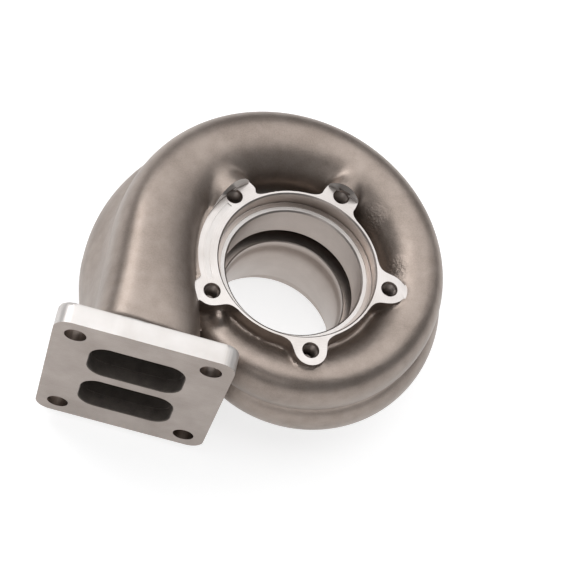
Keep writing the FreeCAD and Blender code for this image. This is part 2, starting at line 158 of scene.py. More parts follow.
def scroll_sizes(side, wind):
    """Centre radius, centre height, half width and half height of a scroll's skin at a wind angle."""
    mouth = MOUTH_WIDTH[side]
    half_width = mouth + (TAIL_WIDTH - mouth) * wind / TAIL
    height = np.polyval(HEIGHT, wind) - NEAR_LOWER * (side == NEAR)
    half_height = height / (1 + OVERLAP)
    radius = np.polyval(OUTER_R[side], wind) - half_width
    return radius, DIVIDER + side * OVERLAP * half_height, half_width, half_height


def squareness(wind):
    """Power of a section's outline: squarer at the mouth, round further along."""
    return ROUND_POWER + MOUTH_SQUARER * np.clip(1 - wind / MOUTH_FADES, 0, 1) ** 2


def lean(side, wind):
    """Slope that lowers the near scroll's top towards the ring; the far scroll stands upright."""
    return (LEAN - LEAN_FADES * wind) * (side == NEAR)


def section_distance(u, v, a, b, power):
    """About the distance from a rounded section with half sizes a and b: value over slope,
    with tiny numbers that keep both off zero."""
    pu = np.abs(u / a) + 1e-6
    pv = np.abs(v / b) + 1e-6
    g = (pu**power + pv**power) ** (1 / power)
    slope = g ** (1 - power) * np.hypot(pu ** (power - 1) / a, pv ** (power - 1) / b)
    return (g - 1) / np.maximum(slope, 1e-4)


def soft_min(p, q, width):
    """The lower of two fields, with a round hollow of the given width where they meet."""
    h = np.clip(0.5 + 0.5 * (q - p) / width, 0, 1)
    return q + (p - q) * h - width * h * (1 - h)


def scroll_field(x, y, z, side):
    """Distance from one scroll: its section in the half plane through the shaft axis."""
    wind = wind_at(x, y)
    inside = np.minimum(wind, TAIL)
    radius, height, a, b = scroll_sizes(side, inside)
    r = np.hypot(x, y)
    u, v = r - radius, z - height
    v = v - lean(side, inside) * u * np.clip(v / b, 0, 1)
    d = section_distance(u, v, a, b, squareness(inside)) + SKIN_TRIM
    past = np.radians(np.maximum(wind - TAIL, 0)) * r
    return np.where(past > 0, np.hypot(np.maximum(d, 0), past) + TAIL_TRIM, d)


def duct_sizes(side, share):
    """Centre x, centre height and half sizes of a duct, easing from the mouth to the flange."""
    radius, height, a, b = scroll_sizes(side, 0.0)
    goal = (PORT_X, DIVIDER + side * DUCT_FROM_DIVIDER, DUCT_HALF_W, DUCT_HALF_H)
    return between((-radius, height, a, b), goal, eased(np.clip(share * DUCT_SOONER, 0, 1)))


def duct_field(x, y, z, side):
    """Distance from a duct, whose sections lie square to Y between mouth and flange. Past its
    mouth it counts as a metre away."""
    share = np.clip(y / (INLET_Y + INLET_T / 2), 0, 1)
    cx, cz, a, b = duct_sizes(side, share)
    u, v = cx - x, z - cz
    v = v - lean(side, 0.0) * (1 - DUCT_LEAN_LOSS * share) * u * np.clip(v / b, 0, 1)
    d = section_distance(u, v, a, b, DUCT_POWER + share * share) + SKIN_TRIM
    return np.where(y > 0, 1e3, np.maximum(d, INLET_Y - DUCT_STOCK - y))


def outline_field(r, z, corners):
    """Exact distance in the half plane from a closed outline of (radius, height) corners."""
    best = np.full(r.shape, 1e9)
    crossings = np.zeros(r.shape, bool)
    for (r0, z0), (r1, z1) in zip(corners, corners[1:] + corners[:1]):
        er, ez = r1 - r0, z1 - z0
        t = np.clip(((r - r0) * er + (z - z0) * ez) / (er * er + ez * ez), 0, 1)
        best = np.minimum(best, (r - r0 - t * er) ** 2 + (z - z0 - t * ez) ** 2)
        if z1 != z0:
            crossings ^= ((z0 > z) != (z1 > z)) & (r < r0 + (z - z0) * er / ez)
    return np.where(crossings, -1, 1) * np.sqrt(best)


def rounded_slab(flat, z, low, high, edge):
    """A flat outline's field carried from one height to another, with its rims rounded."""
    over = np.abs(z - (low + high) / 2) - (high - low) / 2 + edge
    flat = flat + edge
    outside = np.hypot(np.maximum(flat, 0), np.maximum(over, 0))
    return outside + np.minimum(np.maximum(flat, over), 0) - edge


def crown_field(x, y, z):
    """The ring with its ears, hollow-blended, as a slab with soft rims."""
    flat = np.hypot(x, y) - RING_R
    for angle in EARS:
        cx, cy = on_circle(BOLT_R, angle)
        flat = soft_min(flat, np.hypot(x - cx, y - cy) - EAR_R, EAR_BLEND)
    return rounded_slab(flat, z, low=108.0, high=FACE + 2.5, edge=1.2)


def lug_field(x, y, z, angle, radius, rise, start, reach):
    """A round-topped lug that runs outwards from an ear: a level cylinder with a soft end."""
    c, s = on_circle(1.0, angle)
    along = x * c + y * s
    across = np.hypot(-x * s + y * c, z - (FACE + rise - radius)) - radius
    return rounded_slab(across, along, start, start + reach, edge=3.0)


def flange_field(x, y, z):
    """The inlet flange: a plate with round corners and slightly soft cast edges."""
    qx = np.abs(x - INLET_X) - INLET_W / 2 + INLET_CORNER
    qz = np.abs(z - DIVIDER) - INLET_H / 2 + INLET_CORNER
    flat = np.hypot(np.maximum(qx, 0), np.maximum(qz, 0)) + np.minimum(np.maximum(qx, qz), 0)
    front, back = INLET_Y - FLANGE_STOCK, INLET_Y + INLET_T
    return rounded_slab(flat - INLET_CORNER, y, front, back, edge=1.3)


def recess_floor_field(x, y, z):
    """The cast floor beside the inlet duct: a sector of a drum with its top above the face."""
    angle = np.mod(np.degrees(np.arctan2(y, x)), 360.0)
    r = np.hypot(x, y)
    sides = np.maximum(np.abs(angle - FLOOR_MIDDLE) - FLOOR_HALF, 0) * np.radians(1.0) * r
    past = r - FLOOR_R
    flat = np.hypot(np.maximum(past, 0), sides) + np.minimum(past, 0) * (sides <= 0)
    return rounded_slab(flat, z, low=100.0, high=FACE + 2.0, edge=1.5)


def casting_field(x, y, z):
    """The whole raw casting: its forms joined one after another with round hollows."""
    near = np.minimum(scroll_field(x, y, z, NEAR), duct_field(x, y, z, NEAR))
    far = np.minimum(scroll_field(x, y, z, FAR), duct_field(x, y, z, FAR))
    by_duct = np.clip((DUCT_EDGE - x) / DUCT_EDGE_FADES, 0, 1)
    mouth = np.where(y < 0, by_duct, np.clip(1 - wind_at(x, y) / MOUTH_HOLLOW_FADES, 0, 1))
    body = soft_min(near, far, SCROLL_HOLLOW + MOUTH_HOLLOW * mouth)
    body = np.maximum(body, INLET_Y - DUCT_STOCK - y)
    hub = outline_field(np.hypot(x, y), z, HUB) - HUB_ROUND
    body = soft_min(body, hub, HUB_HOLLOW)
    body = soft_min(body, recess_floor_field(x, y, z), FLOOR_HOLLOW)
    body = soft_min(body, crown_field(x, y, z), CROWN_HOLLOW)
    for lug in LUGS:
        body = soft_min(body, lug_field(x, y, z, *lug), LUG_HOLLOW)
    web = np.sqrt((x - WEB_X) ** 2 + (y - WEB_Y) ** 2 + ((z - WEB_Z) / WEB_STRETCH) ** 2) - WEB_R
    body = soft_min(body, web, WEB_HOLLOW)
    return soft_min(body, flange_field(x, y, z), FLANGE_HOLLOW)


# The skin as a mesh of quads


def edge_ends(values, axis):
    """Values at the two ends of every grid edge along an axis."""
    first, last = [slice(None)] * 3, [slice(None)] * 3
    first[axis], last[axis] = slice(0, -1), slice(1, None)
    return values[tuple(first)], values[tuple(last)]


def fill_checkerboards(f):
    """Where two opposite corners of a square of the grid are inside and the other two outside,
    one of those is filled, until none is left, so that no edge carries more than two faces."""
    filled = 1
    while filled:
        filled = 0
        for flat in (f, f.transpose(1, 2, 0), f.transpose(2, 0, 1)):
            a, b, c, d = flat[:-1, :-1], flat[1:, :-1], flat[:-1, 1:], flat[1:, 1:]
            rising = (a < 0) & (d < 0) & (b >= 0) & (c >= 0)
            b[rising] = BARELY_INSIDE
            falling = (b < 0) & (c < 0) & (a >= 0) & (d >= 0)
            a[falling] = BARELY_INSIDE
            filled += int(rising.sum() + falling.sum())


def cell_points(f):
    """One point in each cell that the skin crosses, at the mean of the crossings on its edges,
    in cells, with a grid that numbers those points."""
    shape = np.array(f.shape)
    total = np.zeros(tuple(shape - 1) + (3,))
    count = np.zeros(tuple(shape - 1))
    for axis in range(3):
        f0, f1 = edge_ends(f, axis)
        crosses = (f0 < 0) != (f1 < 0)
        share = np.where(crosses, f0 / np.where(crosses, f0 - f1, 1), 0)
        others = [a for a in range(3) if a != axis]
        for i in (0, 1):
            for j in (0, 1):
                pick = [slice(None)] * 3
                pick[others[0]] = slice(i, shape[others[0]] - 1 + i)
                pick[others[1]] = slice(j, shape[others[1]] - 1 + j)
                on = crosses[tuple(pick)]
                count += on
                total[..., axis] += np.where(on, share[tuple(pick)], 0)
                total[..., others[0]] += on * i
                total[..., others[1]] += on * j
    cells = np.argwhere(count > 0)
    at = tuple(cells.T)
    number = np.full(tuple(shape - 1), -1)
    number[at] = np.arange(len(cells))
    return cells + total[at] / count[at][:, None], number


def crossing_quads(inside, number):
    """A quad round each grid edge that the skin crosses, facing from the metal to the air."""
    shape = inside.shape
    quads = []
    for axis, (o1, o2) in enumerate([(1, 2), (2, 0), (0, 1)]):
        a, b = edge_ends(inside, axis)
        e1, e2 = np.eye(3, dtype=int)[[o1, o2]]
        for leaving, hit in ((True, a & ~b), (False, ~a & b)):
            at = np.argwhere(hit)
            keep = (at[:, o1] > 0) & (at[:, o2] > 0)
            keep &= (at[:, o1] < shape[o1] - 1) & (at[:, o2] < shape[o2] - 1)
            at = at[keep]
            ring = [at - e1 - e2, at - e2, at, at - e1]
            quad = np.stack([number[tuple(c.T)] for c in ring], 1)
            quads.append(quad if leaving else quad[:, ::-1])
    return np.concatenate(quads)


def skin_mesh(field, low, high, pitch):
    """Points and quads of the skin on a grid: surface nets, checked to be closed."""
    axes = [np.arange(a, b + pitch, pitch) for a, b in zip(low, high)]
    f = field(*np.meshgrid(*axes, indexing="ij"))
    fill_checkerboards(f)
    points, number = cell_points(f)
    quads = crossing_quads(f < 0, number)
    edges = np.sort(np.concatenate([quads[:, [i, (i + 1) % 4]] for i in range(4)]), 1)
    shared = np.unique(edges, axis=0, return_counts=True)[1]
    if (shared != 2).any():
        raise RuntimeError("the skin has %d edges without two faces" % (shared != 2).sum())
    return points * pitch + np.array([a[0] for a in axes]), quads


def settle(points, field, rounds=3, step=0.15, furthest=1.5):
    """Move points onto the skin along the field's slope, found by small differences."""
    for _ in range(rounds):
        x, y, z = points.T
        slope = np.stack(
            [
                field(x + step, y, z) - field(x - step, y, z),
                field(x, y + step, z) - field(x, y - step, z),
                field(x, y, z + step) - field(x, y, z - step),
            ],
            1,
        ) / (2 * step)
        size = np.maximum((slope**2).sum(1), 0.05)
        move = -np.clip(field(x, y, z), -furthest, furthest)[:, None] * slope / size[:, None]
        points = points + np.clip(move, -furthest, furthest)
    return points


# Solids that cut


def make_mesh(name, points, faces, materials=()):
    """An object of points in millimetres and faces, with its place in its mesh."""
    mesh = bpy.data.meshes.new(name)
    faces = faces.tolist() if isinstance(faces, np.ndarray) else faces
    mesh.from_pydata((np.asarray(points) * MM).tolist(), [], faces)
    mesh.update()
    for material in materials:
        mesh.materials.append(material)
    thing = bpy.data.objects.new(name, mesh)
    bpy.context.scene.collection.objects.link(thing)
    return thing


def fix_normals(thing):
    """Points in one place become one, and all faces turn outwards."""
    bm = bmesh.new()
    bm.from_mesh(thing.data)
    bmesh.ops.remove_doubles(bm, verts=bm.verts, dist=1e-7)
    bmesh.ops.recalc_face_normals(bm, faces=bm.faces)
    bm.to_mesh(thing.data)
    bm.free()


def circle(sides):
    """Angles of equal steps round a circle."""
    return 2 * np.pi * np.arange(sides) / sides


def grid_faces(rows, columns):
    """Quads of a grid whose columns close on themselves."""
    i, j = np.meshgrid(np.arange(rows - 1), np.arange(columns), indexing="ij")
    i2, j2 = i + 1, (j + 1) % columns
    corners = [i * columns + j, i * columns + j2, i2 * columns + j2, i2 * columns + j]
    return np.stack(corners, -1).reshape(-1, 4).tolist()


def turned(name, profile, sides):
    """A closed solid turned about Z from (radius, height) corners that start and end on the axis."""
    radius, height = np.array(profile, float).T
    r, h, turn = radius[1:-1, None], height[1:-1, None], circle(sides)
    rings = np.stack([r * np.cos(turn), r * np.sin(turn), np.repeat(h, sides, 1)], -1)
    rings = rings.reshape(-1, 3)
    points = np.vstack([rings, [0, 0, height[0]], [0, 0, height[-1]]])
    j = np.arange(sides)
    j2, low, high, top = (j + 1) % sides, np.full(sides, len(rings)), len(rings) + 1, len(rings) - sides
    fans = np.stack([low, j2, j, np.full(sides, high), top + j, top + j2], 1).reshape(-1, 3)
    return make_mesh(name, points, grid_faces(len(profile) - 2, sides) + fans.tolist())


def tube(name, sections):
    """A closed solid through equal rings of points, given as an array of sections."""
    sections = np.array(sections)
    rows, columns = sections.shape[:2]
    faces = grid_faces(rows, columns)
    faces.append(list(range(columns))[::-1])
    faces.append([(rows - 1) * columns + j for j in range(columns)])
    thing = make_mesh(name, sections.reshape(-1, 3), faces)
    fix_normals(thing)
    return thing


def section_ring(a, b, power, sides):
    """Points of a rounded section: the unit circle's direction scaled out to the outline."""
    turn = circle(sides)
    u, v = np.cos(turn), np.sin(turn)
    reach = (np.abs(u) ** power + np.abs(v) ** power) ** (-1 / power)
    return a * reach * u, b * reach * v


def side_name(side, what):
    """Name of a tool that there is one of on each side of the divider."""
    return ("near_" if side == NEAR else "far_") + what


def passage_sizes(side, wind):
    """Centre radius, centre height and half sizes of a passage: the skin's less the walls."""
    radius, height, a, b = scroll_sizes(side, wind)
    high = float(np.polyval(HEIGHT, wind)) - WALL
    centre = DIVIDER + side * (HALF_DIVIDER + high) / 2
    return radius, centre, a - WALL, (high - HALF_DIVIDER) / 2


def passage_tool(side):
    """The gas passage of one scroll, from the port round to its end."""
    sides = 48
    rows = []
    mouth = passage_sizes(side, 0.0)
    centre = DIVIDER + side * (PORT_BRIDGE + PORT_H) / 2
    goal = (-PORT_X, centre, PORT_W / 2 - PORT_CLEAR, PORT_H / 2 - PORT_CLEAR)
    for share in np.linspace(1, 0, 13)[:-1]:
        radius, height, a, b = between(mouth, goal, eased(share))
        u, v = section_ring(a, b, PASSAGE_POWER + PORT_SQUARER * share, sides)
        v = v + lean(side, 0.0) * (1 - share) * u * np.maximum(v / b, 0)
        y = (INLET_Y + PORT_DEPTH) * share
        rows.append(np.stack([-(radius + u), np.full(sides, y), height + v], 1))
    for wind in np.arange(0.0, PASSAGE_END, 4.0):
        radius, height, a, b = passage_sizes(side, wind)
        u, v = section_ring(a, b, PASSAGE_POWER, sides)
        v = v + lean(side, wind) * u * np.maximum(v / b, 0)
        x, y = on_circle(radius + u, 180.0 - wind)
        rows.append(np.stack([x, y, height + v], 1))
    return tube(side_name(side, "passage_tool"), rows)


def port_tool(side):
    """A straight port with round corners and a slightly eased rim."""
    turn = np.linspace(0, np.pi / 2, 16)
    ring = []
    for quarter, (sx, sz) in enumerate(((1, 1), (-1, 1), (-1, -1), (1, -1))):
        cx, cz = sx * (PORT_W / 2 - PORT_CORNER), sz * (PORT_H / 2 - PORT_CORNER)
        a = turn + quarter * np.pi / 2
        ring.append(np.stack([cx + PORT_CORNER * np.cos(a), cz + PORT_CORNER * np.sin(a)], 1))
    ring = np.concatenate(ring)
    rows = []
    middle = DIVIDER + side * (PORT_BRIDGE + PORT_H) / 2
    for y, grow in ((-4.0, 1.5), (0.0, 0.7), (0.7, 0.0), (11.0, 0.0)):
        flat = ring * np.array([1 + grow / (PORT_W / 2), 1 + grow / (PORT_H / 2)])
        level = np.full(len(flat), INLET_Y + y)
        rows.append(np.stack([PORT_X + flat[:, 0], level, middle + flat[:, 1]], 1))
    return tube(side_name(side, "port_tool"), rows)


def throat_tool(side):
    """The narrowing way in to the nozzle, as wedge sections that follow the passage."""
    rows = []
    face = NOZZLE_TOP - THROAT_LIP if side == NEAR else NOZZLE_BOTTOM + THROAT_LIP
    tip = DIVIDER + side * 1.0
    for wind in np.arange(0.0, PASSAGE_END, 6.0):
        radius, height, a, b = passage_sizes(side, wind)
        outer = radius - a / 2
        reach = side * (outer - THROAT_R)
        profile = [
            (THROAT_R, face), (outer, face + reach * THROAT_FLARE),
            (outer, tip + reach * THROAT_FALL), (THROAT_R, tip),
        ]
        rows.append([(*on_circle(r, 180.0 - wind), h) for r, h in profile])
    return tube(side_name(side, "throat_tool"), rows)


def drum(name, x, y, low, high, radius, sides, axis="Z"):
    """A plain cylinder along Z or Y that cuts a hole or a facing."""
    u, v = radius * np.cos(circle(sides)), radius * np.sin(circle(sides))
    rows = []
    for level in (low, high):
        flat = np.full(sides, level)
        rows.append(np.stack([x + u, y + v, flat] if axis == "Z" else [x + u, flat, y + v], 1))
    return tube(name, rows)


def ring_tool(name, depth, inner, outer, start, stop):
    """A sector of a flat ring that cuts a groove or a step into the face."""
    low, high = FACE - depth, FACE + 1
    corners = [(inner, low), (outer, low), (outer, high), (inner, high)]
    angles = np.radians(np.linspace(start, stop, 40))
    return tube(name, [[(r * math.cos(a), r * math.sin(a), z) for r, z in corners] for a in angles])


def threaded_hole(name, x, y):
    """A tapped hole: a turned tool whose radius rises and falls with the thread's pitch."""
    pitch, root, crest, sink = 1.75, 6.0, 5.1, 6.9
    drill_r, drill_depth, thread_start, thread_stop = 4.6, 17.0, 15.5, 1.6
    profile = [(0.0, FACE - drill_depth - 2.0), (drill_r, FACE - drill_depth)]
    height = FACE - thread_start
    while height < FACE - thread_stop:
        profile += [(crest, height), (root, height + pitch / 2)]
        height += pitch
    profile += [(root + 0.1, FACE - 0.9), (sink, FACE + 0.05), (sink, FACE + 3.0), (0.0, FACE + 3.0)]
    thing = turned(name, profile, HOLE_SIDES)
    thing.data.transform(Matrix.Translation((x * MM, y * MM, 0)))
    return thing


def box_tool(name, low, high, materials=()):
    """A box between two opposite corners."""
    sides = list(zip(low, high))
    corners = np.array([[x, y, z] for x in sides[0] for y in sides[1] for z in sides[2]])
    faces = [[0, 1, 3, 2], [4, 6, 7, 5], [0, 4, 5, 1], [2, 3, 7, 6], [0, 2, 6, 4], [1, 5, 7, 3]]
    thing = make_mesh(name, corners, faces, materials)
    fix_normals(thing)
    return thing


def paint(thing, number, chosen=lambda face: True):
    """Chosen faces of a tool carry one of the finishes, so that its cut keeps it."""
    if not thing.data.materials:
        for material in FINISHES:
            thing.data.materials.append(material)
    for face in thing.data.polygons:
        if chosen(face):
            face.material_index = number


def cut_with(body, tools):
    """Cut tools out of the body one after another and keep the finished mesh."""
    for tool in tools:
        change = body.modifiers.new(tool.name, "BOOLEAN")
        change.operation = "DIFFERENCE"
        change.solver = SOLVER
        change.object = tool
    bpy.context.view_layer.update()
    graph = bpy.context.evaluated_depsgraph_get()
    mesh = bpy.data.meshes.new_from_object(body.evaluated_get(graph))
    body.modifiers.clear()
    body.data = mesh
    for tool in tools:
        bpy.data.objects.remove(tool)


def keep_largest(mesh):
    """Drop crumbs that the cuts leave loose: only the largest connected part of the mesh stays."""
    bm = bmesh.new()
    bm.from_mesh(mesh)
    unseen, parts = set(bm.verts), []
    while unseen:
        part, front = set(), [unseen.pop()]
        while front:
            vert = front.pop()
            part.add(vert)
            for edge in vert.link_edges:
                other = edge.other_vert(vert)
                if other in unseen:
                    unseen.discard(other)
                    front.append(other)
        parts.append(part)
    largest = max(parts, key=len)
    crumbs = [vert for part in parts if part is not largest for vert in part]
    bmesh.ops.delete(bm, geom=crumbs, context="VERTS")
    bm.to_mesh(mesh)
    bm.free()


def lighten_flange_edges(mesh, band=14.0):
    """The flange's outer band: its cast faces get the lighter satin finish, a machined rim painted
    lighter than the face for the light that falls on it.
    """
    count = len(mesh.polygons)
    centre, slot = np.empty(count * 3), np.empty(count, int)
    mesh.polygons.foreach_get("center", centre)
    mesh.polygons.foreach_get("material_index", slot)
    x, y, z = centre.reshape(-1, 3).T / MM
    edge = (np.abs(x - INLET_X) > INLET_W / 2 - band) | (np.abs(z - DIVIDER) > INLET_H / 2 - band)
    on_plate = (y < INLET_Y + INLET_T - 0.4) & (x < INLET_X + INLET_W / 2 + 2)
    chosen = (slot == IS_CAST) & on_plate & edge
    mesh.polygons.foreach_set("material_index", np.where(chosen, IS_EDGE, slot))


# Finishes


def node_group(name, inputs, outputs):
    """An empty shader node group with named sockets."""
    group = bpy.data.node_groups.new(name, "ShaderNodeTree")
    for label, kind in inputs:
        group.interface.new_socket(label, in_out="INPUT", socket_type=kind)
    for label in outputs:
        group.interface.new_socket(label, in_out="OUTPUT", socket_type="NodeSocketFloat")
    return group, group.nodes.new("NodeGroupInput"), group.nodes.new("NodeGroupOutput")


def noise(tree, where, scale, detail=3.0, rough=0.55):
    """Cloudy noise from 0 to 1 at places, with so many clouds to a metre."""
    node = tree.nodes.new("ShaderNodeTexNoise")
    node.inputs["Scale"].default_value = scale
    node.inputs["Detail"].default_value = detail
    node.inputs["Roughness"].default_value = rough
    tree.links.new(where, node.inputs["Vector"])
    return node.outputs["Fac"]


def math_node(tree, kind, a, b=None):
    """One step of arithmetic on numbers or on other nodes' values."""
    node = tree.nodes.new("ShaderNodeMath")
    node.operation = kind
    for socket, value in zip(node.inputs, (a, b)):
        if isinstance(value, (int, float)):
            socket.default_value = value
        elif value is not None:
            tree.links.new(value, socket)
    return node.outputs[0]


def weighted(tree, a, share_a, b, share_b):
    """The sum of two values, each times its share."""
    first = math_node(tree, "MULTIPLY", a, share_a)
    return math_node(tree, "ADD", first, math_node(tree, "MULTIPLY", b, share_b))


def span(tree, value, low, high, to_low=0.0, to_high=1.0):
    """A value stretched from one range to another and held at its ends."""
    node = tree.nodes.new("ShaderNodeMapRange")
    tree.links.new(value, node.inputs["Value"])
    ends = zip(("From Min", "From Max", "To Min", "To Max"), (low, high, to_low, to_high))
    for label, number in ends:
        node.inputs[label].default_value = number
    return node.outputs["Result"]


def mix_colour(tree, share, first, second):
    """From the first colour to the second by a share."""
    node = tree.nodes.new("ShaderNodeMix")
    node.data_type = "RGBA"
    tree.links.new(share, node.inputs["Factor"])
    for label, value in (("A", first), ("B", second)):
        socket = [i for i in node.inputs if i.name == label and i.type == "RGBA"][0]
        if isinstance(value, tuple):
            socket.default_value = (*value, 1.0)
        else:
            tree.links.new(value, socket)
    return [o for o in node.outputs if o.type == "RGBA"][0]


def bump(tree, height, strength, depth):
    """A normal tilted by a height, whose full range is a depth in metres."""
    node = tree.nodes.new("ShaderNodeBump")
    node.inputs["Strength"].default_value = strength
    node.inputs["Distance"].default_value = depth
    tree.links.new(height, node.inputs["Height"])
    return node.outputs["Normal"]


def sand_group():
    """Sand-cast skin: broad mottling, fine grain, scattered pits and two rougher patches behind
    the ring, as a mask, a grain and a height."""
    inputs, outputs = [("Place", "NodeSocketVector")], ["Mottle", "Grain", "Height"]
    group, start, end = node_group("sand_cast_skin", inputs, outputs)
    place = start.outputs["Place"]
    broad, middle = noise(group, place, 22.0), noise(group, place, 95.0)
    fine = noise(group, place, 900.0, rough=0.65)
    mottle = weighted(group, broad, 0.6, middle, 0.4)
    group.links.new(span(group, mottle, 0.38, 0.62), end.inputs["Mottle"])
    group.links.new(fine, end.inputs["Grain"])
    pits = group.nodes.new("ShaderNodeTexVoronoi")
    pits.inputs["Scale"].default_value = 170.0
    group.links.new(place, pits.inputs["Vector"])
    pit = span(group, pits.outputs["Distance"], 0.0, 0.16, -0.35, 0.0)
    rare = span(group, noise(group, place, 40.0, 1.0), 0.6, 0.66)
    height = weighted(group, fine, 0.45, middle, 0.9)
    height = math_node(group, "ADD", height, math_node(group, "MULTIPLY", pit, rare))
    rough = None
    for angle in (50.0, 15.0):
        away = group.nodes.new("ShaderNodeVectorMath")
        away.operation = "DISTANCE"
        group.links.new(place, away.inputs[0])
        away.inputs[1].default_value = (*on_circle(0.085, angle), 0.13)
        patch = span(group, away.outputs["Value"], 0.006, 0.015, 1.0, 0.0)
        rough = patch if rough is None else math_node(group, "MAXIMUM", rough, patch)
    lumps = math_node(group, "MULTIPLY", noise(group, place, 330.0, 3.0, 0.6), 6.0)
    height = math_node(group, "ADD", height, math_node(group, "MULTIPLY", lumps, rough))
    group.links.new(height, end.inputs["Height"])
    return group


def tool_marks_group():
    """A cutter's fine lines with stains over them: noise along the height, plus the radius
    where Round is 1, for a turned surface. It gives a mottled shade and the lines' height."""
    inputs = [("Place", "NodeSocketVector"), ("Round", "NodeSocketFloat")]
    group, start, end = node_group("tool_marks", inputs, ["Shade", "Lines"])
    place = start.outputs["Place"]
    split = group.nodes.new("ShaderNodeSeparateXYZ")
    group.links.new(place, split.inputs[0])
    x, y, z = split.outputs
    squares = math_node(
        group, "ADD", math_node(group, "MULTIPLY", x, x), math_node(group, "MULTIPLY", y, y)
    )
    radius = math_node(group, "MULTIPLY", math_node(group, "SQRT", squares), start.outputs["Round"])
    join = group.nodes.new("ShaderNodeCombineXYZ")
    along = math_node(group, "MULTIPLY", math_node(group, "ADD", radius, z), 2600.0)
    group.links.new(along, join.inputs[0])
    lines = noise(group, join.outputs[0], 1.0, 2.0, 0.5)
    shade = weighted(group, lines, 0.6, noise(group, place, 38.0), 0.4)
    group.links.new(shade, end.inputs["Shade"])
    group.links.new(lines, end.inputs["Lines"])
    return group


def new_material(name):
    """A material with a Principled shader joined to its output, its tree and those two nodes."""
    material = bpy.data.materials.new(name)
    material.use_nodes = True
    tree = material.node_tree
    tree.nodes.clear()
    output = tree.nodes.new("ShaderNodeOutputMaterial")
    shader = tree.nodes.new("ShaderNodeBsdfPrincipled")
    tree.links.new(shader.outputs[0], output.inputs[0])
    return material, tree, shader, output


def place_group(tree, group):
    """A shared group in a material's tree, which reads Object coordinates."""
    node = tree.nodes.new("ShaderNodeGroup")
    node.node_tree = group
    tree.links.new(tree.nodes.new("ShaderNodeTexCoord").outputs["Object"], node.inputs["Place"])
    return node


def cast_material(name, dark, light, metallic, rough_low, rough_high, relief):
    """The rough casting: mottled warm grey with lighter specks, satin where it is smoother."""
    material, tree, shader, _ = new_material(name)
    sand = place_group(tree, SAND)
    colour = mix_colour(tree, sand.outputs["Mottle"], dark, light)
    speck = span(tree, sand.outputs["Grain"], 0.3, 0.75, 0.0, 0.35)
    colour = mix_colour(tree, speck, colour, tuple(min(1.0, c * 1.5) for c in light))
    rough = span(tree, sand.outputs["Grain"], 0.3, 0.7, rough_low, rough_high)
    tree.links.new(colour, shader.inputs["Base Color"])
    shader.inputs["Metallic"].default_value = metallic
    tree.links.new(rough, shader.inputs["Roughness"])
    tree.links.new(bump(tree, sand.outputs["Height"], relief, 0.0006), shader.inputs["Normal"])
    return material


def machined_material(name, base, streak, rough, turned_round, metallic=1.0, brushed=0.0):
    """A machined face: fine tool marks round the shaft axis, or straight ones from a mill."""
    material, tree, shader, _ = new_material(name)
    marks = place_group(tree, TOOL_MARKS)
    marks.inputs["Round"].default_value = 1.0 if turned_round else 0.0
    shade = marks.outputs["Shade"]
    colour = mix_colour(tree, span(tree, shade, 0.35, 0.65), base, streak)
    tree.links.new(colour, shader.inputs["Base Color"])
    shader.inputs["Metallic"].default_value = metallic
    if brushed:
        shader.inputs["Anisotropic"].default_value = brushed
        tangent = tree.nodes.new("ShaderNodeTangent")
        tangent.direction_type = "RADIAL"
        tangent.axis = "Z"
        tree.links.new(tangent.outputs[0], shader.inputs["Tangent"])
    rough = span(tree, shade, 0.3, 0.7, rough - 0.05, rough + 0.08)
    tree.links.new(rough, shader.inputs["Roughness"])
    tree.links.new(bump(tree, marks.outputs["Lines"], 0.25, 0.00012), shader.inputs["Normal"])
    return material


SAND, TOOL_MARKS = sand_group(), tool_marks_group()
FINISHES = [
    cast_material(
        "cast_skin", dark=(0.235, 0.193, 0.166), light=(0.33, 0.277, 0.243),
        metallic=0.85, rough_low=0.35, rough_high=0.48, relief=0.35,
    ),
    machined_material(
        "turned_face", base=(0.44, 0.405, 0.38), streak=(0.7, 0.665, 0.645),
        rough=0.3, turned_round=True, brushed=0.4,
    ),
    machined_material(
        "milled_face", base=(0.25, 0.21, 0.185), streak=(0.42, 0.37, 0.34),
        rough=0.36, turned_round=False,
    ),
    # Cored passages: rougher and duller than the skin, and darker, which is painted shade for their dim
    # insides.
    cast_material(
        "cored_passage_painted_shade", dark=(0.1, 0.085, 0.073), light=(0.2, 0.17, 0.15),
        metallic=0.3, rough_low=0.6, rough_high=0.75, relief=0.5,
    ),
    # Lighter, duller machined metal: the ring step's own tone, and painted light on the flange rim, the
    # recess walls and the ledge in the bore.
    machined_material(
        "satin_machined_and_painted_light", base=(0.56, 0.52, 0.49), streak=(0.74, 0.71, 0.69),
        rough=0.32, turned_round=False, metallic=0.5,
    ),
    machined_material(
        "bored_wall", base=(0.38, 0.33, 0.3), streak=(0.52, 0.465, 0.43),
        rough=0.34, turned_round=True, brushed=0.3,
    ),
]
IS_CAST, IS_TURNED, IS_MILLED, IS_CORED, IS_EDGE, IS_BORED = range(6)


# The housing: the raw casting, and tools that reach past it where they cut nothing

points, quads = skin_mesh(casting_field, GRID_LOW, GRID_HIGH, PITCH)
points = settle(points, casting_field)
housing = make_mesh("turbine_housing_casting", points, quads, FINISHES)

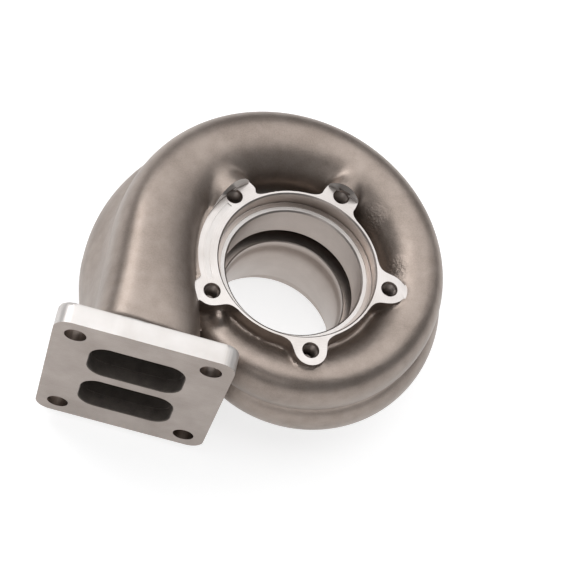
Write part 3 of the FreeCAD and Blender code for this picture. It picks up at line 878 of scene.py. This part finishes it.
outlet_face = box_tool("outlet_face_tool", (-90, -90, -9), (90, 90, 0))
inlet_face = box_tool("inlet_face_tool", (-180, INLET_Y - 12, -5), (-20, INLET_Y, 180))
recess = drum("recess_tool", 0, 0, FACE, FACE + 52, RECESS_R, BORE_SIDES)
step = ring_tool("ring_step_tool", STEP_DEPTH, STEP_IN, STEP_OUT, STEP_START, STEP_STOP)
reliefs = []
for angle in LUG_EARS:
    name, start, stop = "relief_groove_tool_%d" % angle, angle - RELIEF_BEFORE, angle + RELIEF_AFTER
    inner, outer = RECESS_R - RELIEF_IN, RECESS_R + RELIEF_OUT
    reliefs.append(ring_tool(name, RELIEF_DEPTH, inner, outer, start, stop))
facings, holes = [], []
for number, angle in enumerate(EARS, start=1):
    x, y = on_circle(BOLT_R, angle)
    holes.append(threaded_hole("tapped_hole_tool_%d" % number, x, y))
    if angle not in LUG_EARS:
        name = "ear_facing_tool_%d" % number
        facings.append(drum(name, x, y, FACE, FACE + 12, EAR_R + FACING_WIDER, EAR_SIDES))
bore = turned("bore_tool", BORE, BORE_SIDES)
studs = []
for column in (-STUD_ACROSS, STUD_ACROSS):
    for row in (-STUD_UP, STUD_UP):
        x, z, name = INLET_X + column, DIVIDER + row, "stud_hole_tool_%d" % (len(studs) + 1)
        studs.append(drum(name, x, z, INLET_Y - 4, INLET_Y + 22, STUD_R, HOLE_SIDES, "Y"))
ports = [port_tool(side) for side in (NEAR, FAR)]
passages = [passage_tool(side) for side in (NEAR, FAR)]
throats = [throat_tool(side) for side in (NEAR, FAR)]

for tool in [outlet_face, recess] + reliefs + facings:
    paint(tool, IS_TURNED)
# The recess walls get the lighter satin finish: their own slightly different tone, painted lighter for
# the lamp light on them.
paint(recess, IS_EDGE, lambda face: abs(face.normal.z) < 0.5)
paint(step, IS_EDGE)
paint(bore, IS_BORED)
# The ledge in the bore gets the lighter satin finish: painted light on a ledge that lies in the bore's
# shade.
paint(bore, IS_EDGE, lambda f: abs(f.normal.z) > 0.5 and abs(f.center.z / MM - LEDGE) < 0.5)
for tool in [inlet_face] + studs + holes:
    paint(tool, IS_MILLED)
# The passages, ports and throats get the darker cored finish: painted shade inside them.
for tool in ports + passages + throats:
    paint(tool, IS_CORED)

cut_with(housing, [outlet_face, inlet_face, recess, step] + reliefs + facings + [bore] + holes + studs)
cut_with(housing, ports + passages + throats)
mesh = housing.data
keep_largest(mesh)
lighten_flange_edges(mesh)
mesh.polygons.foreach_set("use_smooth", np.ones(len(mesh.polygons), bool))
mesh.set_sharp_from_angle(angle=math.radians(SHARP_ANGLE))
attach(housing, "root")
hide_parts("turbine_housing")


# Floor, light and camera


def stage_material():
    """White paper: it keeps the shadow, and is lifted towards white where the camera or a
    mirror-like face sees it."""
    material, tree, shader, output = new_material("paper")
    shader.inputs["Base Color"].default_value = (0.5, 0.5, 0.5, 1)
    shader.inputs["Roughness"].default_value = 0.9
    shader.inputs["Specular IOR Level"].default_value = 0.0
    glow = tree.nodes.new("ShaderNodeEmission")
    glow.inputs["Color"].default_value = (1, 1, 1, 1)
    path = tree.nodes.new("ShaderNodeLightPath")
    seen = math_node(tree, "MAXIMUM", path.outputs["Is Camera Ray"], path.outputs["Is Glossy Ray"])
    tree.links.new(math_node(tree, "MULTIPLY", seen, 0.75), glow.inputs["Strength"])
    both = tree.nodes.new("ShaderNodeAddShader")
    tree.links.new(shader.outputs[0], both.inputs[0])
    tree.links.new(glow.outputs[0], both.inputs[1])
    tree.links.new(both.outputs[0], output.inputs[0])
    return material


floor = box_tool("floor", (-4000, -4000, -60), (4000, 4000, -0.05), [stage_material()])

world = bpy.data.worlds.new("studio")
bpy.context.scene.world = world
world.use_nodes = True
world.node_tree.nodes["Background"].inputs["Color"].default_value = (0.95, 0.97, 1.0, 1)
world.node_tree.nodes["Background"].inputs["Strength"].default_value = 0.2


def area_light(name, place, aim, size, watts):
    """A white panel of a size in metres that faces the place it is aimed at."""
    light = bpy.data.lights.new(name, "AREA")
    light.shape = "RECTANGLE"
    light.size, light.size_y = size
    light.energy = watts
    lamp = bpy.data.objects.new(name, light)
    lamp.location = Vector(place)
    lamp.rotation_euler = (Vector(aim) - Vector(place)).to_track_quat("-Z", "Y").to_euler()
    bpy.context.scene.collection.objects.link(lamp)


area_light("panel_above", (0.0, 0.42, 1.45), (0, 0.42, 0), (2.0, 1.8), 17.0)
area_light("softbox_left", (-0.95, 0.45, 1.2), (-0.05, 0, 0.1), (0.6, 0.9), 7.0)
area_light("softbox_right", (1.2, 0.8, 1.0), (0, 0, 0.1), (0.4, 0.7), 1.2)
area_light("fill_front", (-0.4, -1.2, 0.9), (-0.05, -0.05, 0.09), (0.9, 0.4), 1.3)

# The camera's own right, down and forward directions and its place in metres
CAMERA_RIGHT = Vector((0.9577, 0.1787, 0.2256))
CAMERA_DOWN = Vector((0.2666, -0.8460, -0.4617))
CAMERA_AHEAD = Vector((0.1083, 0.5023, -0.8579))
CAMERA_PLACE = (-0.1488, -0.6962, 1.2856)

camera_data = bpy.data.cameras.new("camera")
camera_data.lens = 106.25
camera_data.sensor_width = 36.0
camera_data.clip_start = 0.05
camera_data.clip_end = 50.0
camera = bpy.data.objects.new("camera", camera_data)
axes = Matrix((CAMERA_RIGHT, -CAMERA_DOWN, -CAMERA_AHEAD)).transposed().to_4x4()
camera.matrix_world = Matrix.Translation(CAMERA_PLACE) @ axes
bpy.context.scene.collection.objects.link(camera)
bpy.context.scene.camera = camera
bpy.context.scene.view_settings.view_transform = "Standard"
